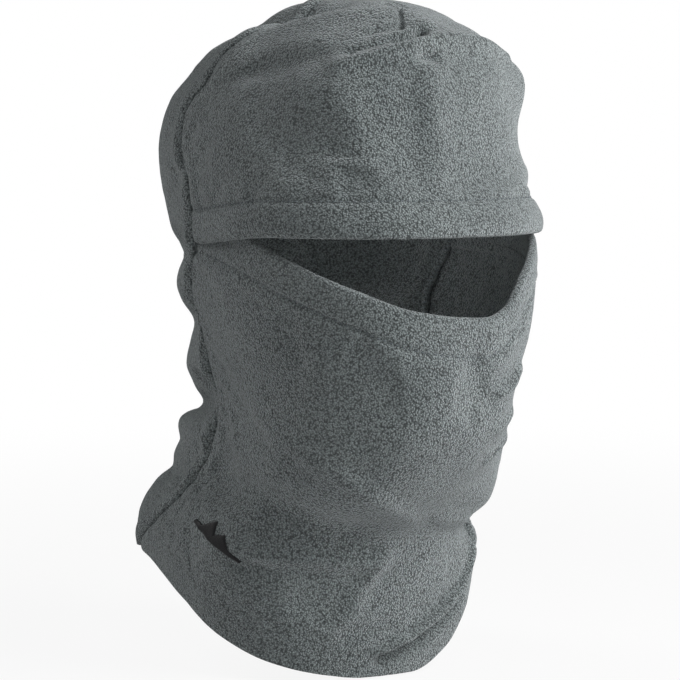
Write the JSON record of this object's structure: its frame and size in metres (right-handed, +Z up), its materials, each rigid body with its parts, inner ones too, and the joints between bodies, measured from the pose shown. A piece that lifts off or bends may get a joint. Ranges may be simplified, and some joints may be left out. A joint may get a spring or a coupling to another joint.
{
  "type": "balaclava",
  "caption": "Fleece balaclava hood with a single eye opening, a turned-up brow hem, a pull-down mask edge and a long front bib over the throat.",
  "frame": {"origin": "centre of the footprint of the whole hood, at the lowest point of the front bib's hem", "axes": "+Z up to the crown, -Y the way the wearer faces, -X the wearer's right"},
  "size_m": [0.172, 0.2364, 0.331],
  "materials": {
    "fleece": "napped grey microfleece",
    "thread": "spun polyester sewing thread",
    "embroidery": "black satin-stitch embroidery",
    "label": "woven satin tape"
  },
  "bodies": {
    "hood": {"back_panel": "fleece", "forehead_crown": "fleece", "forehead_brow": "fleece", "mask_face": "fleece", "neck_bib": "fleece", "arch_seam_overlock": "thread", "forehead_dart_overlock": "thread", "back_dart_overlock": "thread", "emblem": "embroidery", "care_label": "label"},
    "brow_flap": {"forehead_hem": "fleece", "forehead_hem_thread": "thread"},
    "mask_edge": {"mask_hem": "fleece", "mask_hem_thread": "thread"}
  },
  "joints": [
    {"name": "mask_pull_down", "type": "hinge", "parent": "hood", "child": "mask_edge", "pos_m": [0, -0.0105, 0.215], "axis": [1, 0, 0], "range_deg": [0, 24], "stiffness_Nm_per_rad": 0.6, "deforming": ["mask_face"]},
    {"name": "brow_lift", "type": "hinge", "parent": "hood", "child": "brow_flap", "pos_m": [0, -0.0085, 0.219], "axis": [-1, 0, 0], "range_deg": [0, 14], "stiffness_Nm_per_rad": 0.6, "deforming": ["forehead_brow"]}
  ]
}
